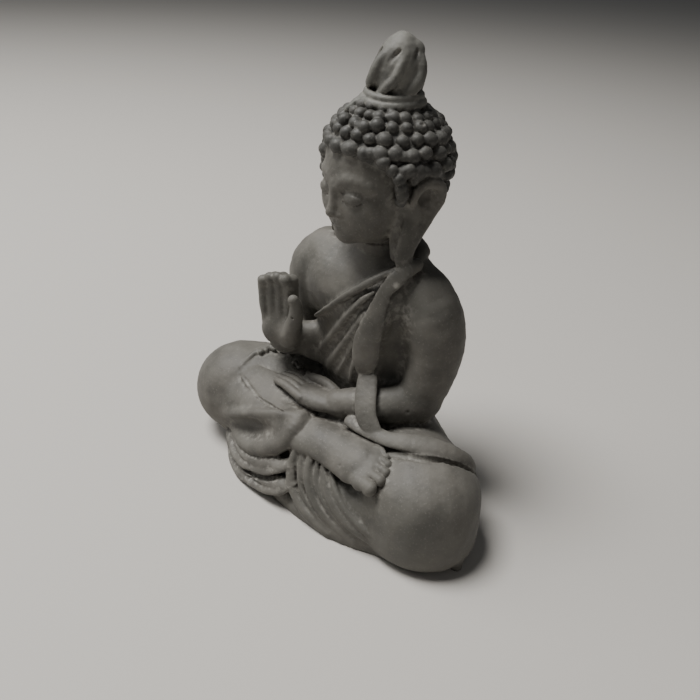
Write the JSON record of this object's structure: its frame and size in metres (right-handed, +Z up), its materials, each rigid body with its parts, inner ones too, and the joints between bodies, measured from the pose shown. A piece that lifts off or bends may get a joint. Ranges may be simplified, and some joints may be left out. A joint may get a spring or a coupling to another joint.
{
  "type": "seated buddha figurine",
  "caption": "Small seated figure in grey cast resin, cross-legged with one hand raised, curled hair with a flame finial, draped robe and a flat underside.",
  "frame": {"origin": "middle of the figure's bounding box, at the underside that rests on the table", "axes": "+Z up through the flame finial, -Y the way the figure faces, +X towards the figure's left knee"},
  "size_m": [0.0506, 0.0262, 0.0604],
  "materials": {
    "resin_skin": "satin",
    "resin_hair": "satin",
    "resin_robe": "satin"
  },
  "bodies": {
    "root": {"casting_nub": "resin_robe", "collar_roll": "resin_robe", "fan_folds": "resin_robe", "flame": "resin_hair", "flame_collar": "resin_hair", "front_hem": "resin_robe", "hair_cap": "resin_hair", "hair_curls": "resin_hair", "head": "resin_skin", "hem_ledges": "resin_robe", "knee_fold": "resin_robe", "lap_cloth": "resin_robe", "left_ear": "resin_skin", "left_forearm": "resin_skin", "left_hand": "resin_skin", "left_shin": "resin_robe", "left_thigh": "resin_robe", "left_upper_arm": "resin_skin", "neck": "resin_skin", "right_ear": "resin_skin", "right_fingers": "resin_skin", "right_foot": "resin_skin", "right_forearm": "resin_skin", "right_palm": "resin_skin", "right_shin": "resin_robe", "right_thigh": "resin_robe", "right_thumb": "resin_skin", "right_toes": "resin_skin", "right_upper_arm": "resin_skin", "robe": "resin_robe", "robe_hem": "resin_robe", "sash": "resin_robe", "seat": "resin_robe", "torso": "resin_skin", "wrist_cloth": "resin_robe"}
  },
  "joints": []
}
